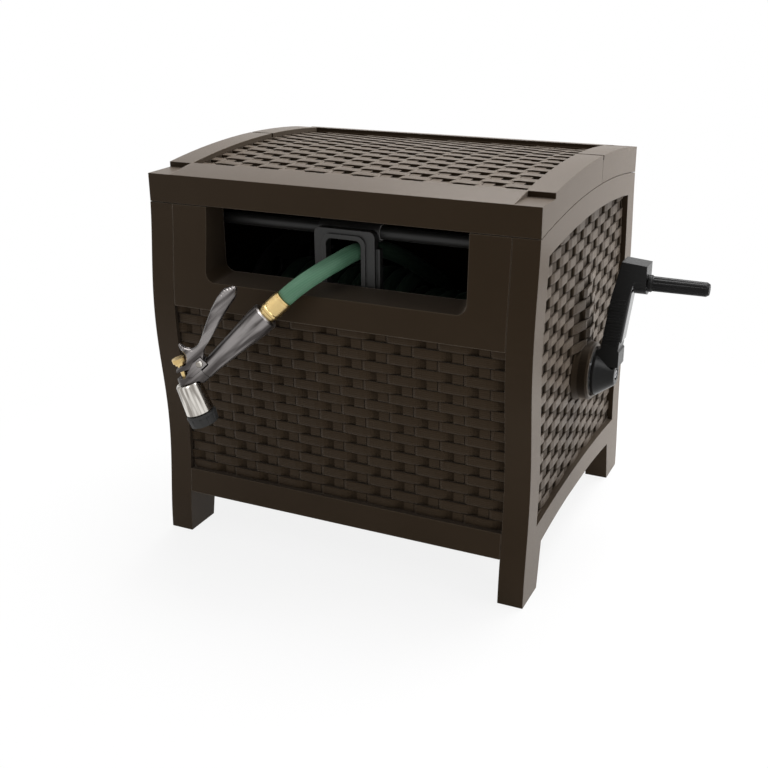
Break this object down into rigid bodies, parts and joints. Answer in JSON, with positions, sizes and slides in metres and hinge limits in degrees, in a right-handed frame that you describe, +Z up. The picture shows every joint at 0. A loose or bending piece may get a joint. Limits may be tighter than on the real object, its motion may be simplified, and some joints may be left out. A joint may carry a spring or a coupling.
{
  "type": "garden hose reel",
  "caption": "Moulded wicker cabinet with a hinged crowned lid, an inner hose reel turned by a side crank, a sliding hose guide and a hose with a trigger spray nozzle.",
  "frame": {"origin": "on the floor, under the centre of the overall box without the free hose and its nozzle", "axes": "+Z up, the cabinet's front and its hose window face -Y, the crank is on the +X side"},
  "size_m": [0.752, 0.5893, 0.549],
  "materials": {
    "brown_plastic": "matte, moulded wicker grain",
    "black_plastic": "satin",
    "pale_plastic": "satin",
    "black_rubber": "matte",
    "steel": "zinc plated",
    "hose_green": "satin vinyl",
    "brass": "satin",
    "handle_grey": "satin soft grip",
    "chrome": "polished"
  },
  "bodies": {
    "cabinet": {"left_side_panel": "brown_plastic", "right_side_panel": "brown_plastic", "front_panel": "brown_plastic", "back_panel": "brown_plastic", "base_tray": "brown_plastic", "rear_deck": "brown_plastic", "upper_guide_rail": "black_plastic", "lower_guide_rail": "black_plastic", "left_bearing": "black_plastic", "right_bearing": "black_plastic", "inlet_fitting": "black_plastic", "inlet_seals": "black_rubber", "panel_screws": "steel", "hinge_pins": "steel"},
    "lid": {"front_lid": "brown_plastic"},
    "reel": {"drum": "black_plastic", "left_flange": "black_plastic", "right_flange": "black_plastic", "outlet_fitting": "black_plastic", "drum_screws": "steel", "hose_core": "hose_green", "hose_winding": "hose_green", "crank_shaft": "steel", "crank_arm": "black_plastic", "crank_screw": "steel"},
    "grip": {"crank_grip": "black_plastic"},
    "guide": {"hose_guide": "black_plastic", "guide_bushes": "pale_plastic", "hose_inner": "hose_green", "hose_outer": "hose_green", "hose_coupling": "brass", "coupling_ferrule": "brass", "coupling_washer": "black_rubber", "nozzle_handle": "handle_grey", "spray_head": "chrome", "bumper_ring": "black_rubber", "nozzle_neck": "chrome", "trigger_pin": "steel"},
    "trigger": {"trigger": "handle_grey"},
    "valve": {"valve_stem": "brass", "adjusting_nut": "brass"}
  },
  "joints": [
    {"name": "lid_hinge", "type": "hinge", "parent": "cabinet", "child": "lid", "pos_m": [-0.062, 0.034, 0.54561], "axis": [-1, 0, 0], "range_deg": [0, 95]},
    {"name": "reel_spin", "type": "hinge", "parent": "cabinet", "child": "reel", "pos_m": [-0.062, 0, 0.253], "axis": [1, 0, 0], "continuous": true},
    {"name": "grip_spin", "type": "hinge", "parent": "reel", "child": "grip", "pos_m": [0.338, 0, 0.389], "axis": [1, 0, 0], "continuous": true},
    {"name": "guide_slide", "type": "slide", "parent": "cabinet", "child": "guide", "axis": [1, 0, 0], "range_m": [-0.125, 0.125], "deforming": ["hose_inner"]},
    {"name": "trigger_pull", "type": "hinge", "parent": "guide", "child": "trigger", "pos_m": [-0.21175, -0.32133, 0.30935], "axis": [-0.454, 0.891, 0], "range_deg": [0, 13], "stiffness_Nm_per_rad": 2, "springref_deg": -11.46},
    {"name": "valve_slide", "type": "slide", "parent": "guide", "child": "valve", "axis": [-0.2753, -0.1403, 0.9511], "range_m": [0, 0.0062]}
  ],
  "couplings": [
    {"joint": "valve_slide", "follows": "trigger_pull", "m_per_rad": 0.0247}
  ]
}
